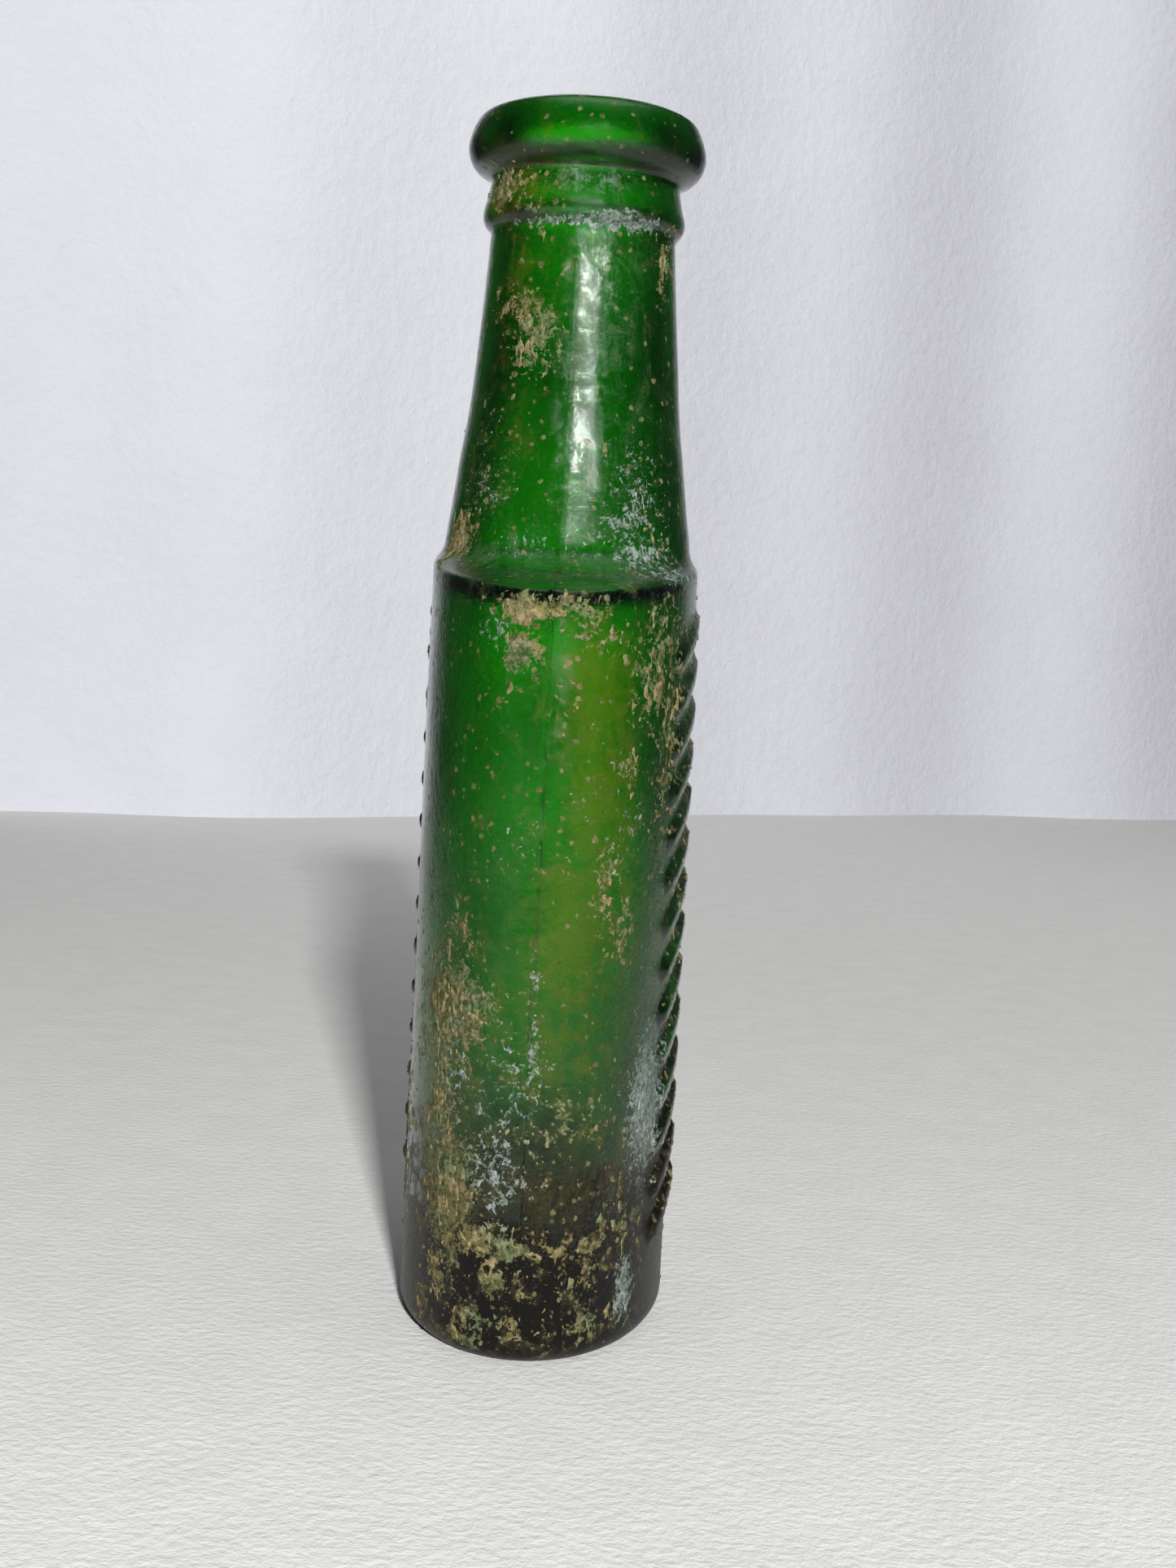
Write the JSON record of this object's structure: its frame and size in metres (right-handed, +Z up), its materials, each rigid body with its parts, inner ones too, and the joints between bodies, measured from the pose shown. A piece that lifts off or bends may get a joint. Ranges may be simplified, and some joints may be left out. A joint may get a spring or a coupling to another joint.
{
  "type": "glass soda bottle",
  "caption": "Small oval green glass soda bottle with a crown finish, sloping shoulders, a relief column on each wide face and burial deposits.",
  "frame": {"origin": "middle of the standing base, on the plane that the bottle stands on", "axes": "+Z up through the mouth; +Y along the oval's wide direction, so the mould seams lie on +Y and -Y; +X through the oval's thickness, so the relief faces +X and -X"},
  "size_m": [0.0314, 0.0511, 0.1336],
  "materials": {
    "green_glass": "glossy, slightly etched dark green glass",
    "dried_soil": "matt tan crust",
    "lime_scale": "matt grey-white crust",
    "dark_silt": "matt dark brown silt"
  },
  "bodies": {
    "root": {"glass_body": "green_glass", "lip_ring": "green_glass", "collar_ring": "green_glass", "relief_right": "green_glass", "relief_left": "green_glass", "soil_crust": "dried_soil", "lime_scale": "lime_scale", "base_silt": "dark_silt"}
  },
  "joints": []
}
